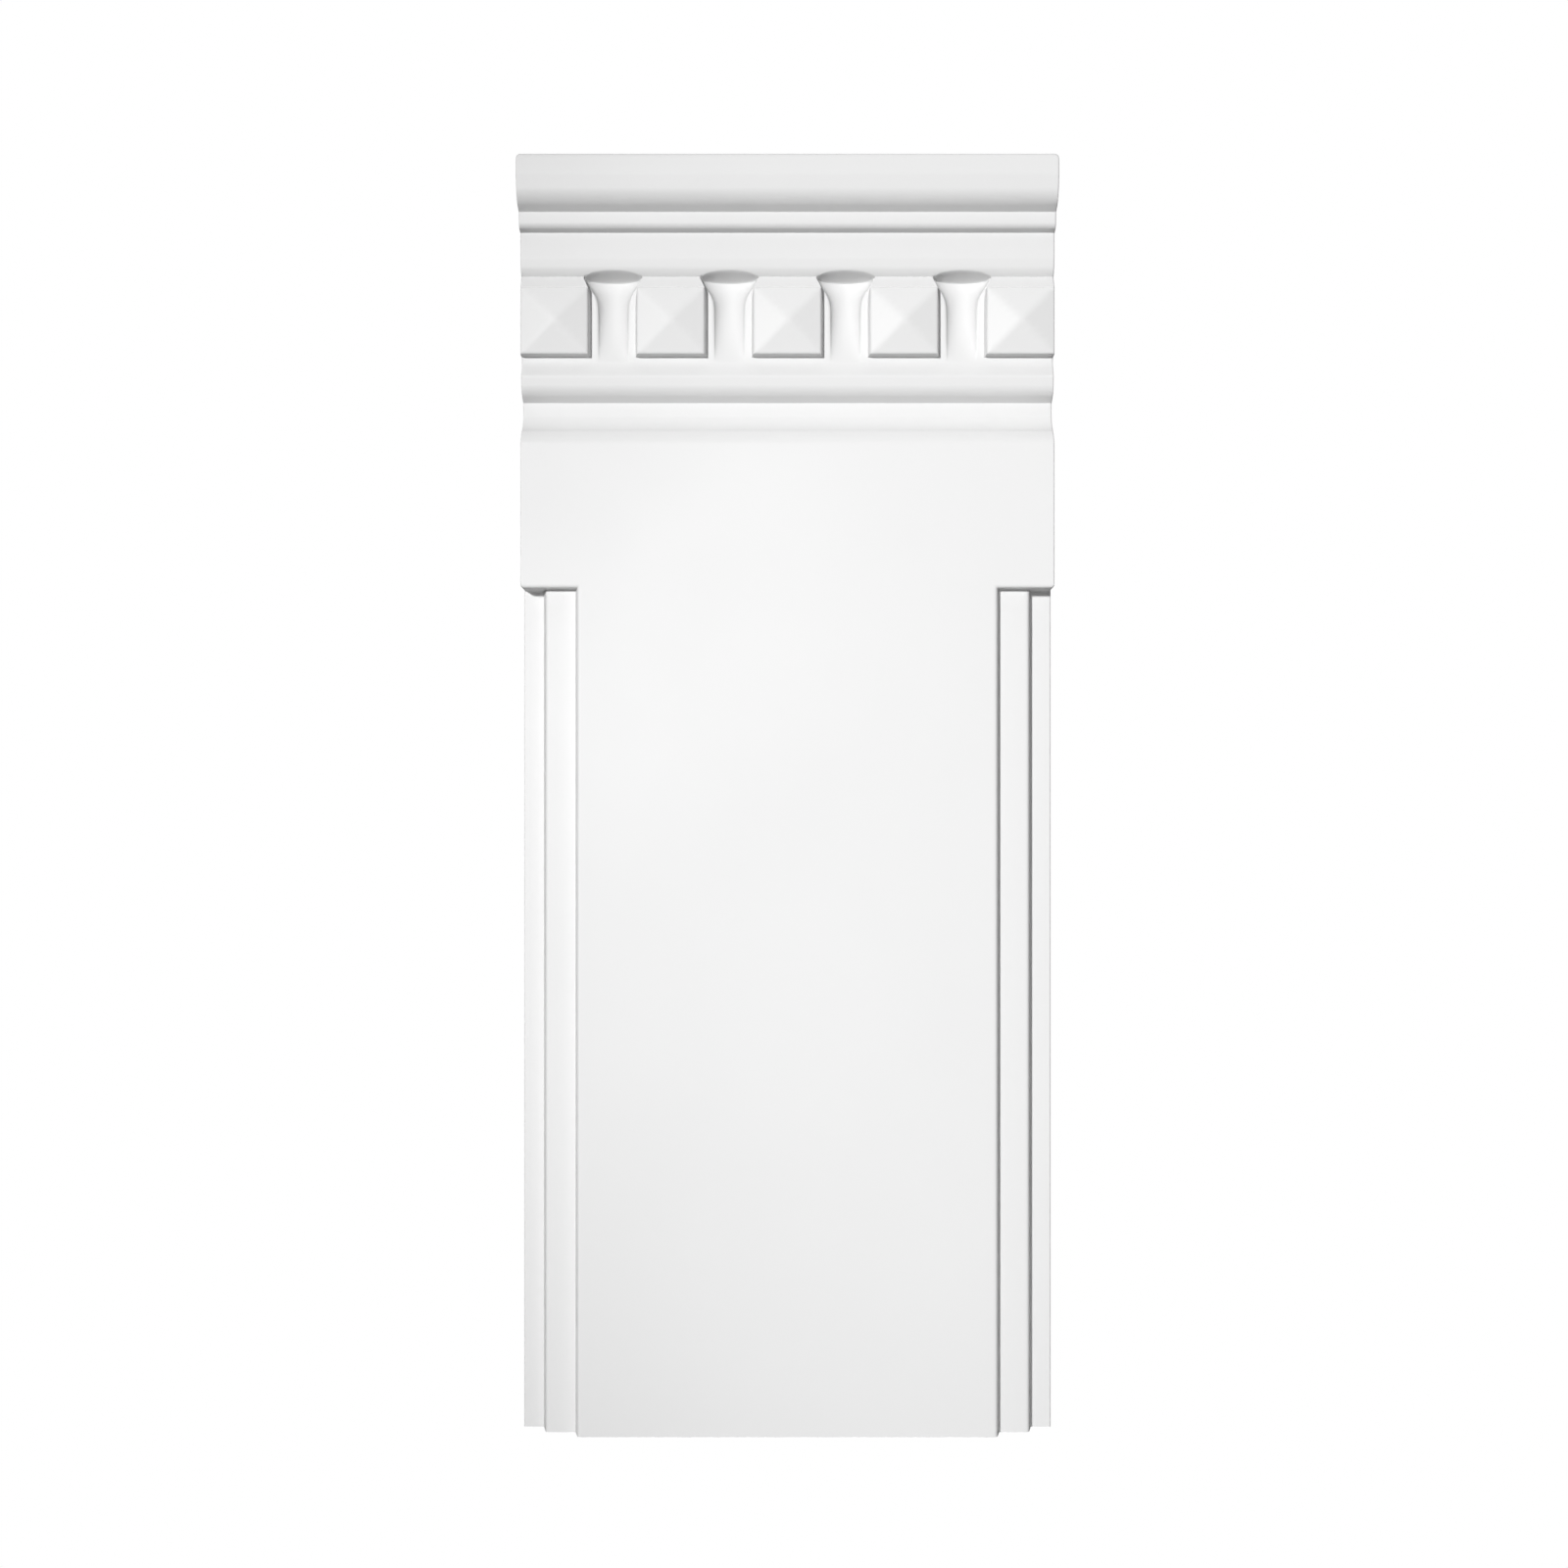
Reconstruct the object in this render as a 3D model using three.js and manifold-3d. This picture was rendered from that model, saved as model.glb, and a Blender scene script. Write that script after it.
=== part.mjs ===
// Head and upper shaft of a moulded wall pilaster, made as one piece with a flat back.
// Millimetres, +Z up, front towards -Y, wall plane at Y = 0, X = 0 on the centre line.
// The origin lies in the middle of the back, where the piece is fixed to the wall.
import * as THREE from "three";
import { ConvexGeometry } from "three/addons/geometries/ConvexGeometry.js";
import { mergeVertices } from "three/addons/utils/BufferGeometryUtils.js";
import Module from "manifold-3d";

const wasm = await Module();
wasm.setup();

// Widths and depths of the body
const FACE_WIDTH = 250; // frieze and crown, measured at the face of the frieze
const SIDE_DRAFT = 1; // degrees that each side leans in towards the front
const FACE_PROJECTION = 28; // wall to the face of the frieze and of the centre panel

// Shaft: a centre panel between two recessed steps on each side
const SHAFT_HEIGHT = 397.3; // cut square at the foot, where the shaft runs on
const PANEL_WIDTH = 196.4;
const INNER_STEP_WIDTH = 15.6;
const INNER_STEP_RECESS = 6.2; // behind the centre panel
const OUTER_STEP_RECESS = 6.9; // behind the inner step
const STEP_DRAFT = 14; // degrees that the walls between the steps lean outwards to their foot

// Heights of the head's members, from the frieze up
const FRIEZE_HEIGHT = 67.3;
const FRIEZE_EDGE_HEIGHT = 6.8; // rounded and sloping top edge of the frieze
const FLARE_HEIGHT = 8.2; // hollow between the frieze and the neck
const NECK_HEIGHT = 6.3;
const BAND_OVOLO_HEIGHT = 11.1; // with its underside
const BAND_RAMP_HEIGHT = 7.3; // from the ovolo of the band back to the ground of the blocks
const GROUND_FOOT_HEIGHT = 2.4; // plain ground between the band and the blocks
const BLOCK_HEIGHT = 31.2;
const BLOCK_CHAMFER_HEIGHT = 5.4; // slope from the block back to the soffit above
const FASCIA_OVOLO_HEIGHT = 8;
const FASCIA_HEIGHT = 12;
const BEAD_HEIGHT = 7.9; // with its underside
const CROWN_OVOLO_HEIGHT = 14.1; // with its underside
const CROWN_BAND_HEIGHT = 9.6;

// Places of the head's members, measured from the face of the frieze, minus is behind it
const FRIEZE_EDGE_SETBACK = 3.9;
const NECK_RECESS = 9.7;
const BAND_RECESS = 2;
const GROUND_RECESS = 5;
const FASCIA_FOOT_RECESS = 3.9;
const BEAD_PROJECTION = 5.5;
const CROWN_PROJECTION = 15.3;
const CROWN_CORNER_RADIUS = 2; // seen from the front

// Undersides: how far each reaches out before the round in front of it, and how far it rises
const BAND_UNDERSIDE = [3.5, 2];
const BEAD_UNDERSIDE = [3, 0.6];
const CROWN_UNDERSIDE = [3.6, 1.6];
const FASCIA_UNDERSIDE_SLOPE = 30; // degrees, where the fascia's ovolo starts on the ground
const OVOLO_LEAN = 10; // degrees that the face of each ovolo leans out towards its arris
const BEAD_LEAN = 3; // degrees

// Curves between two members: how far along them the ends' tangents meet, 0 to 1
const FRIEZE_EDGE_MEET = 0.3; // share of the height, on the face of the frieze
const FLARE_MEET_OUT = 0.2; // share of the depth
const FLARE_MEET_UP = 0.4; // share of the height
const RAMP_MEET = 0.6; // share of the height, on the ground

// Diamond-point blocks and the scoops between them
const BLOCK_COUNT = 5;
const BLOCK_WIDTH = 31.6;
const BLOCK_POINT = 3.7; // rise of the pyramid above the block's edges
const BLOCK_DRAFT = 11; // degrees that a block's two sides lean outwards to their foot
const BLOCK_CHAMFER_SETBACK = 3; // of the chamfer at the soffit, behind the block's edge
const BLOCK_CORNER_CUT = 2.4; // the chamfer's upper corners are cut off by this much
const BLOCK_ROOT = 4; // how far a block is let into the ground and the soffit
const END_BLOCK_ROOM = 1; // an end block's outer side is wider by this much before it is trimmed
const SCOOP_RADIUS = 7.0; // half the width, and the depth under the soffit
const SCOOP_RUNOUT_POWER = 1.5; // how late the scoop runs out towards its foot
const SCOOP_RUNOUT_LIP = 0.4; // the foot of the scoop comes out in front of the ground
const SCOOP_FLARE = 5.9; // widening on each side where the scoop meets its soffit
const SCOOP_FLARE_HEIGHT = 6.6; // depth under the soffit at which little of the flare is left
const SCOOP_SOFFIT_SLOPE = 12.7; // degrees that the top of the scoop rises towards the front

// Fineness of the curves
const CURVE_STEPS = 8;
const SCOOP_SIDES = 14;
const SCOOP_LEVELS = 12;
const CUT_ROOM = 6; // how far a cutting body reaches past what it cuts

// Heights above the foot, worked out by stacking the members
const FRIEZE_TOP = SHAFT_HEIGHT + FRIEZE_HEIGHT;
const FLARE_FOOT = FRIEZE_TOP + FRIEZE_EDGE_HEIGHT;
const NECK_FOOT = FLARE_FOOT + FLARE_HEIGHT;
const BAND_FOOT = NECK_FOOT + NECK_HEIGHT;
const BAND_ARRIS = BAND_FOOT + BAND_OVOLO_HEIGHT;
const GROUND_FOOT = BAND_ARRIS + BAND_RAMP_HEIGHT;
const BLOCK_FOOT = GROUND_FOOT + GROUND_FOOT_HEIGHT;
const BLOCK_TOP = BLOCK_FOOT + BLOCK_HEIGHT;
const SOFFIT = BLOCK_TOP + BLOCK_CHAMFER_HEIGHT;
const FASCIA_FOOT = SOFFIT + FASCIA_OVOLO_HEIGHT;
const FASCIA_TOP = FASCIA_FOOT + FASCIA_HEIGHT;
const CROWN_FOOT = FASCIA_TOP + BEAD_HEIGHT;
const CROWN_ARRIS = CROWN_FOOT + CROWN_OVOLO_HEIGHT;
const TOTAL_HEIGHT = CROWN_ARRIS + CROWN_BAND_HEIGHT;

// Distances from the wall
const FACE = FACE_PROJECTION;
const NECK_FACE = FACE - NECK_RECESS;
const BAND_FACE = FACE - BAND_RECESS;
const GROUND = FACE - GROUND_RECESS;
const BEAD_FACE = FACE + BEAD_PROJECTION;
const CROWN_FACE = FACE + CROWN_PROJECTION;

// Widths
const HALF_WIDTH = FACE_WIDTH / 2;
const BLOCK_PITCH = (FACE_WIDTH - BLOCK_WIDTH) / (BLOCK_COUNT - 1);
const DRAFT_SLOPE = Math.tan(THREE.MathUtils.degToRad(SIDE_DRAFT));
const STEP_SLOPE = Math.tan(THREE.MathUtils.degToRad(STEP_DRAFT));
const BLOCK_SLOPE = Math.tan(THREE.MathUtils.degToRad(BLOCK_DRAFT));

const primerWhite = new THREE.MeshStandardMaterial({
  color: 0xf1f1f0,
  roughness: 0.45,
  metalness: 0,
});

// A closed three.js geometry as a solid that can be joined and cut.
function solid(geometry) {
  const bare = geometry.clone();
  bare.deleteAttribute("normal");
  bare.deleteAttribute("uv");
  const merged = mergeVertices(bare, 1e-4);
  return new wasm.Manifold(
    new wasm.Mesh({
      numProp: 3,
      vertProperties: merged.attributes.position.array,
      triVerts: new Uint32Array(merged.index.array),
    }),
  );
}

// The solid's surface as a three.js geometry again.
function geometryOf(made) {
  const mesh = made.getMesh();
  const geometry = new THREE.BufferGeometry();
  geometry.setAttribute("position", new THREE.BufferAttribute(mesh.vertProperties, 3));
  geometry.setIndex(new THREE.BufferAttribute(mesh.triVerts, 1));
  geometry.computeVertexNormals();
  return geometry;
}

// Extrudes a shape drawn in the plane of two directions along the third, centred on it.
function prism(shape, length, right, up) {
  const along = new THREE.Vector3().crossVectors(right, up);
  const geometry = new THREE.ExtrudeGeometry(shape, {
    depth: length,
    bevelEnabled: false,
    curveSegments: CURVE_STEPS,
  });
  geometry.translate(0, 0, -length / 2);
  geometry.applyMatrix4(new THREE.Matrix4().makeBasis(right, up, along));
  return geometry;
}

const ACROSS = new THREE.Vector3(1, 0, 0);
const OUTWARD = new THREE.Vector3(0, -1, 0);
const BACK = new THREE.Vector3(0, 1, 0);
const UP = new THREE.Vector3(0, 0, 1);

// Section through the piece from wall to front: x is the distance from the wall, y the height.
function sectionShape() {
  const section = new THREE.Shape();
  section.moveTo(0, 0);
  section.lineTo(FACE, 0);
  section.lineTo(FACE, FRIEZE_TOP);
  // rounded top edge of the frieze, then the hollow up to the neck
  section.quadraticCurveTo(
    FACE,
    FRIEZE_TOP + FRIEZE_EDGE_MEET * FRIEZE_EDGE_HEIGHT,
    FACE - FRIEZE_EDGE_SETBACK,
    FLARE_FOOT,
  );
  section.quadraticCurveTo(
    NECK_FACE + FLARE_MEET_OUT * (NECK_RECESS - FRIEZE_EDGE_SETBACK),
    FLARE_FOOT + FLARE_MEET_UP * FLARE_HEIGHT,
    NECK_FACE,
    NECK_FOOT,
  );
  section.lineTo(NECK_FACE, BAND_FOOT);
  // band with its ovolo and the ramp back to the ground of the blocks
  addMember(section, NECK_FACE, BAND_FOOT, BAND_UNDERSIDE, BAND_FACE, BAND_ARRIS, OVOLO_LEAN);
  const rampMeet = BAND_ARRIS + RAMP_MEET * BAND_RAMP_HEIGHT;
  section.quadraticCurveTo(GROUND, rampMeet, GROUND, GROUND_FOOT);
  section.lineTo(GROUND, SOFFIT);
  // fascia with its ovolo, which has no underside of its own
  const fasciaFoot = FACE - FASCIA_FOOT_RECESS;
  section.lineTo(fasciaFoot, SOFFIT);
  addRound(section, fasciaFoot, SOFFIT, FASCIA_UNDERSIDE_SLOPE, FACE, FASCIA_FOOT, OVOLO_LEAN);
  section.lineTo(FACE, FASCIA_TOP);
  // bead under the crown
  addMember(section, FACE, FASCIA_TOP, BEAD_UNDERSIDE, BEAD_FACE, CROWN_FOOT, BEAD_LEAN);
  // crown with its ovolo and plain band
  addMember(section, BEAD_FACE, CROWN_FOOT, CROWN_UNDERSIDE, CROWN_FACE, CROWN_ARRIS, OVOLO_LEAN);
  section.lineTo(CROWN_FACE, TOTAL_HEIGHT);
  section.lineTo(0, TOTAL_HEIGHT);
  section.closePath();
  return section;
}

// Underside of a member from its foot, then the round in front of it and its face to the arris.
function addMember(section, footOut, foot, underside, face, arris, lean) {
  const [reach, rise] = underside;
  section.lineTo(footOut, foot);
  section.lineTo(footOut + reach, foot + rise);
  const slope = THREE.MathUtils.radToDeg(Math.atan2(rise, reach));
  addRound(section, footOut + reach, foot + rise, slope, face, arris, lean);
}

// Round that leaves a point at the given slope and runs into a face which leans out to its arris.
function addRound(section, startOut, start, slope, face, arris, lean) {
  const slopeAngle = THREE.MathUtils.degToRad(slope);
  const leanAngle = THREE.MathUtils.degToRad(lean);
  const under = new THREE.Vector2(Math.cos(slopeAngle), Math.sin(slopeAngle));
  const upright = new THREE.Vector2(Math.sin(leanAngle), Math.cos(leanAngle));
  const gap = new THREE.Vector2(face - startOut, arris - start);
  // from the start to where the two tangents meet
  const tangent = gap.cross(upright) / under.cross(upright);
  const turn = Math.PI / 2 - leanAngle - slopeAngle;
  const radius = tangent / Math.tan(turn / 2);
  const firstAngle = slopeAngle - Math.PI / 2;
  section.absarc(
    startOut - under.y * radius,
    start + under.x * radius,
    radius,
    firstAngle,
    firstAngle + turn,
    false,
  );
  section.lineTo(face, arris);
}

// Plan of the sides: they lean in towards the front so that the piece leaves its mould.
function draftedPlan() {
  const rear = HALF_WIDTH + (FACE + CUT_ROOM) * DRAFT_SLOPE;
  const front = HALF_WIDTH - (CROWN_PROJECTION + CUT_ROOM) * DRAFT_SLOPE;
  const plan = new THREE.Shape();
  plan.moveTo(-rear, CUT_ROOM);
  plan.lineTo(-front, -CROWN_FACE - CUT_ROOM);
  plan.lineTo(front, -CROWN_FACE - CUT_ROOM);
  plan.lineTo(rear, CUT_ROOM);
  plan.closePath();
  return plan;
}

// Front outline, open below, with the rounded upper corners of the crown.
function frontOutline() {
  const half = HALF_WIDTH + FACE * DRAFT_SLOPE;
  const radius = CROWN_CORNER_RADIUS;
  const outline = new THREE.Shape();
  outline.moveTo(-half, -CUT_ROOM);
  outline.lineTo(half, -CUT_ROOM);
  outline.lineTo(half, TOTAL_HEIGHT - radius);
  outline.absarc(half - radius, TOTAL_HEIGHT - radius, radius, 0, Math.PI / 2, false);
  outline.lineTo(-half + radius, TOTAL_HEIGHT);
  outline.absarc(-half + radius, TOTAL_HEIGHT - radius, radius, Math.PI / 2, Math.PI, false);
  outline.closePath();
  return outline;
}

// What is taken off one side of the shaft, outwards from an edge and down to the given face.
// The wall that is left leans outwards from the edge, which lies on the upper of the two faces.
function stepCutter(side, edge, upperFace, face) {
  const outside = side * (HALF_WIDTH + CUT_ROOM);
  const plan = new THREE.Shape();
  plan.moveTo(side * (edge + (upperFace - face) * STEP_SLOPE), -face);
  plan.lineTo(side * (edge - (CROWN_FACE - upperFace) * STEP_SLOPE), -CROWN_FACE);
  plan.lineTo(outside, -CROWN_FACE);
  plan.lineTo(outside, -face);
  plan.closePath();
  const height = SHAFT_HEIGHT + CUT_ROOM;
  const cutter = prism(plan, height, ACROSS, BACK);
  cutter.translate(0, 0, SHAFT_HEIGHT - height / 2);
  return cutter;
}

// Closed solid through rings with equally many points, each counter-clockwise seen from above.
function loft(rings) {
  const count = rings[0].length;
  const positions = rings.flat().flatMap((point) => [point.x, point.y, point.z]);
  const faces = [];
  for (let level = 0; level + 1 < rings.length; level++) {
    for (let i = 0; i < count; i++) {
      const upper = level * count + i;
      const upperNext = level * count + ((i + 1) % count);
      const lower = upper + count;
      const lowerNext = upperNext + count;
      faces.push(lower, lowerNext, upperNext, lower, upperNext, upper);
    }
  }
  const lastRing = (rings.length - 1) * count;
  for (let i = 1; i + 1 < count; i++) {
    faces.push(0, i, i + 1, lastRing, lastRing + i + 1, lastRing + i);
  }
  const geometry = new THREE.BufferGeometry();
  geometry.setAttribute("position", new THREE.Float32BufferAttribute(positions, 3));
  geometry.setIndex(faces);
  return geometry;
}

// Round-bottomed scoop between two blocks: full depth under the soffit, run out at its foot.
// Towards the soffit it flares, and its top slopes up towards the front.
function scoopCutter(centre) {
  const front = FACE + CUT_ROOM;
  const topSlope = Math.tan(THREE.MathUtils.degToRad(SCOOP_SOFFIT_SLOPE));
  const rings = [];
  for (let level = 0; level <= SCOOP_LEVELS; level++) {
    const down = level / SCOOP_LEVELS;
    const below = down * (SOFFIT - GROUND_FOOT);
    const depth = SCOOP_RADIUS * (1 - down ** SCOOP_RUNOUT_POWER);
    const rim = GROUND + SCOOP_RUNOUT_LIP * down;
    const half = SCOOP_RADIUS + SCOOP_FLARE * Math.exp(-((below / SCOOP_FLARE_HEIGHT) ** 2));
    const slope = level === 0 ? topSlope : 0;
    const point = (x, out) => {
      const rise = slope * (out - GROUND + SCOOP_RADIUS);
      return new THREE.Vector3(centre + x, -out, SOFFIT - below + rise);
    };
    const ring = [point(-half, front), point(half, front)];
    for (let side = 0; side <= SCOOP_SIDES; side++) {
      const angle = (Math.PI * side) / SCOOP_SIDES;
      ring.push(point(half * Math.cos(angle), rim - depth * Math.sin(angle)));
    }
    rings.push(ring);
  }
  return loft(rings);
}

// Diamond-point block: pyramid face, chamfer up to the soffit with its corners cut off.
// The outermost side of an end block is left over-wide behind its face, for the draft to trim.
function blockGeometry(index) {
  const centre = (index - (BLOCK_COUNT - 1) / 2) * BLOCK_PITCH;
  const half = BLOCK_WIDTH / 2;
  const root = GROUND - BLOCK_ROOT;
  const rise = BLOCK_CHAMFER_HEIGHT + BLOCK_ROOT;
  const spread = (FACE - root) * BLOCK_SLOPE;
  const chamferReach = rise / BLOCK_CHAMFER_HEIGHT;
  const topHalf = half - BLOCK_CORNER_CUT * chamferReach;
  const topOut = FACE - BLOCK_CHAMFER_SETBACK * chamferReach;
  const points = [new THREE.Vector3(centre, -FACE - BLOCK_POINT, BLOCK_FOOT + BLOCK_HEIGHT / 2)];
  for (const side of [-1, 1]) {
    const atEnd = index === (side < 0 ? 0 : BLOCK_COUNT - 1);
    const rear = centre + side * (half + (atEnd ? END_BLOCK_ROOM : spread));
    const edge = centre + side * half;
    const topEdge = centre + side * (atEnd ? half : topHalf);
    for (const height of [BLOCK_FOOT, BLOCK_TOP]) {
      points.push(new THREE.Vector3(edge, -FACE, height));
      points.push(new THREE.Vector3(rear, -root, height));
    }
    points.push(new THREE.Vector3(topEdge, -topOut, BLOCK_TOP + rise));
    points.push(new THREE.Vector3(topEdge, -root, BLOCK_TOP + rise));
  }
  return new ConvexGeometry(points);
}

function buildPilaster() {
  let made = solid(prism(sectionShape(), FACE_WIDTH + 2 * CUT_ROOM, OUTWARD, UP));

  for (let gap = 0; gap + 1 < BLOCK_COUNT; gap++) {
    const centre = (gap + 0.5 - (BLOCK_COUNT - 1) / 2) * BLOCK_PITCH;
    made = made.subtract(solid(scoopCutter(centre)));
  }
  for (let index = 0; index < BLOCK_COUNT; index++) {
    made = made.add(solid(blockGeometry(index)));
  }

  const innerStepFace = FACE - INNER_STEP_RECESS;
  const outerStepFace = innerStepFace - OUTER_STEP_RECESS;
  for (const side of [-1, 1]) {
    const panelEdge = PANEL_WIDTH / 2;
    made = made.subtract(solid(stepCutter(side, panelEdge, FACE, innerStepFace)));
    const stepEdge = panelEdge + INNER_STEP_WIDTH;
    made = made.subtract(solid(stepCutter(side, stepEdge, innerStepFace, outerStepFace)));
  }

  const sides = prism(draftedPlan(), 2 * (TOTAL_HEIGHT + CUT_ROOM), ACROSS, BACK);
  made = made.intersect(solid(sides));
  const outline = prism(frontOutline(), 2 * (CROWN_FACE + CUT_ROOM), ACROSS, UP);
  made = made.intersect(solid(outline));

  const pilaster = new THREE.Mesh(geometryOf(made), primerWhite);
  pilaster.name = "pilaster";
  pilaster.position.z = -TOTAL_HEIGHT / 2;
  return pilaster;
}

const part = new THREE.Group();
part.add(buildPilaster());

export default part;
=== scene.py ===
"""Looks of a moulded wall pilaster: its head and the upper length of its stepped shaft."""

import math

import bpy
from bpy.props import FloatProperty, FloatVectorProperty, PointerProperty, StringProperty
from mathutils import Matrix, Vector


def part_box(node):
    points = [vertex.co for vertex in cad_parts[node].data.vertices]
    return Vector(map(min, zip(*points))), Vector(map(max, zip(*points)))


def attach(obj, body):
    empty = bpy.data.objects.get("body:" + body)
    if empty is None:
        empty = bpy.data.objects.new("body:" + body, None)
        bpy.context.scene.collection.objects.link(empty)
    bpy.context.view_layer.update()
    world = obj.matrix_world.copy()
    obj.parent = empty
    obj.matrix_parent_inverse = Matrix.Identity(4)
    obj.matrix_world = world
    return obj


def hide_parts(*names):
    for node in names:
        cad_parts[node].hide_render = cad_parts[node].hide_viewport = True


bl_info = {
    "name": "Wall pilaster",
    "version": (1, 0, 0),
    "blender": (4, 5, 0),
    "location": "3D View > Sidebar > Pilaster",
    "description": "Builds a primed wall pilaster with a course of diamond-point blocks",
    "category": "Add Mesh",
}

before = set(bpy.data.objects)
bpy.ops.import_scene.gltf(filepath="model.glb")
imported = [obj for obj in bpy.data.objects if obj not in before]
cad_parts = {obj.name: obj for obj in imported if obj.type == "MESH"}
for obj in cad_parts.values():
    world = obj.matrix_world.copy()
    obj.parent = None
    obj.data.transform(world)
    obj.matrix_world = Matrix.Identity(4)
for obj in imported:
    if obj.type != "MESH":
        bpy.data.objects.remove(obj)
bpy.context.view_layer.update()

MM = 0.001
BACK_FOOT, FRONT_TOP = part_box("pilaster")
TOTAL_HEIGHT = (FRONT_TOP.z - BACK_FOOT.z) / MM
CROWN_FACE = -BACK_FOOT.y / MM

# Heights in mm above the foot, the members stacked as they are in the solid
SHAFT_TOP = 397.3
FRIEZE_TOP = SHAFT_TOP + 67.3
FLARE_FOOT = FRIEZE_TOP + 6.8
NECK_FOOT = FLARE_FOOT + 8.2
BAND_FOOT = NECK_FOOT + 6.3
BAND_ARRIS = BAND_FOOT + 11.1
GROUND_FOOT = BAND_ARRIS + 7.3
BLOCK_FOOT = GROUND_FOOT + 2.4
BLOCK_TOP = BLOCK_FOOT + 31.2
SOFFIT = BLOCK_TOP + 5.4
FASCIA_FOOT = SOFFIT + 8.0
FASCIA_TOP = FASCIA_FOOT + 12.0
CROWN_FOOT = FASCIA_TOP + 7.9
CROWN_ARRIS = CROWN_FOOT + 14.1
SPLICE = 430.0  # level on the plain frieze where the shaft's grid meets the head's

# Distances in mm from the wall
FACE = 28.0
INNER_STEP_FACE = FACE - 6.2
OUTER_STEP_FACE = INNER_STEP_FACE - 6.9
FRIEZE_EDGE_FACE = FACE - 3.9
NECK_FACE = FACE - 9.7
BAND_FACE = FACE - 2.0
GROUND = FACE - 5.0
FASCIA_FOOT_OUT = FACE - 3.9
BEAD_FACE = FACE + 5.5

# Undersides: how far they reach out before their member's round starts, and how far they rise
BAND_LIP = (3.5, 2.0)
BEAD_LIP = (3.0, 0.6)
CROWN_LIP = (3.6, 1.6)
FASCIA_UNDERSIDE = math.radians(30.0)  # its round starts at once

# Slopes of the faces above the rounds, and of a scoop's top towards the front
FACE_LEAN = math.radians(10.0)
BEAD_LEAN = math.radians(3.0)
SOFFIT_RISE = 0.226

# Where the tangents of the hollow and rounded members meet, as shares of their reach
FRIEZE_EDGE_MEET = 0.3
FLARE_MEET_OUT = 0.2
FLARE_MEET_UP = 0.4
RAMP_MEET = 0.6

# Widths in mm
HALF_WIDTH = 125.0
PANEL_EDGE = 98.2
INNER_STEP_EDGE = PANEL_EDGE + 15.6
BLOCK_COUNT = 5
BLOCK_HALF = 15.8
BLOCK_PITCH = (2 * HALF_WIDTH - 2 * BLOCK_HALF) / (BLOCK_COUNT - 1)
BLOCK_POINT = 3.7  # rise of the point over the block's edges
BLOCK_CHAMFER_SETBACK = 3.0  # how far the chamfer at a block's top goes back
BLOCK_CORNER_CUT = 2.4  # taken off each side of a block's top by the flared scoops
SCOOP_RADIUS = 7.0  # half the width, and the depth under the soffit
SCOOP_RUNOUT_POWER = 1.5  # how late a scoop runs out towards its foot
SCOOP_FLARE = 5.9  # widening on each side at the soffit
SCOOP_FLARE_HEIGHT = 6.6  # depth under the soffit at which little of the flare is left
SCOOP_LIP = 3.0  # reach of the blend where a scoop's top comes out of the soffit
SIDE_DRAFT = math.tan(math.radians(1.0))
STEP_DRAFT = math.tan(math.radians(14.0))
BLOCK_DRAFT = math.tan(math.radians(11.0))

BLOCK_CENTRES = [(i - (BLOCK_COUNT - 1) / 2) * BLOCK_PITCH for i in range(BLOCK_COUNT)]
SCOOP_CENTRES = [(a + b) / 2 for a, b in zip(BLOCK_CENTRES, BLOCK_CENTRES[1:])]


class PilasterSizes(bpy.types.PropertyGroup):
    """Softness of the moulded edges."""

    arris: FloatProperty(
        name="Arris",
        description="Length taken off each side of an outer edge when it is rounded",
        default=0.9 * MM,
        min=0.2 * MM,
        max=1.5 * MM,
        unit="LENGTH",
        precision=4,
    )
    step_arris: FloatProperty(
        name="Step arris",
        description="The same on the long edges of the shaft's panel and steps",
        default=1.5 * MM,
        min=0.2 * MM,
        max=2 * MM,
        unit="LENGTH",
        precision=4,
    )
    crease: FloatProperty(
        name="Crease",
        description="Length taken up on each side of an inner corner by its fillet",
        default=0.35 * MM,
        min=0.1 * MM,
        max=0.6 * MM,
        unit="LENGTH",
        precision=4,
    )
    crown_edge: FloatProperty(
        name="Crown edge",
        description="Length taken off each side of the crown's upper front edge",
        default=2 * MM,
        min=0.5 * MM,
        max=3 * MM,
        unit="LENGTH",
        precision=4,
    )
    crown_corner: FloatProperty(
        name="Crown corner",
        description="Radius of the crown's upper corners seen from the front",
        default=2 * MM,
        min=0.5 * MM,
        max=3 * MM,
        unit="LENGTH",
        precision=4,
    )
    frieze_corner: FloatProperty(
        name="Frieze corner",
        description="Radius of the frieze's lower corners seen from the front",
        default=1.6 * MM,
        min=0.5 * MM,
        max=2.5 * MM,
        unit="LENGTH",
        precision=4,
    )
    groove: FloatProperty(
        name="Groove",
        description="Depth and half the width of the fine line under each block's chamfer",
        default=0.4 * MM,
        min=0.1 * MM,
        max=0.8 * MM,
        unit="LENGTH",
        precision=4,
    )


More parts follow.
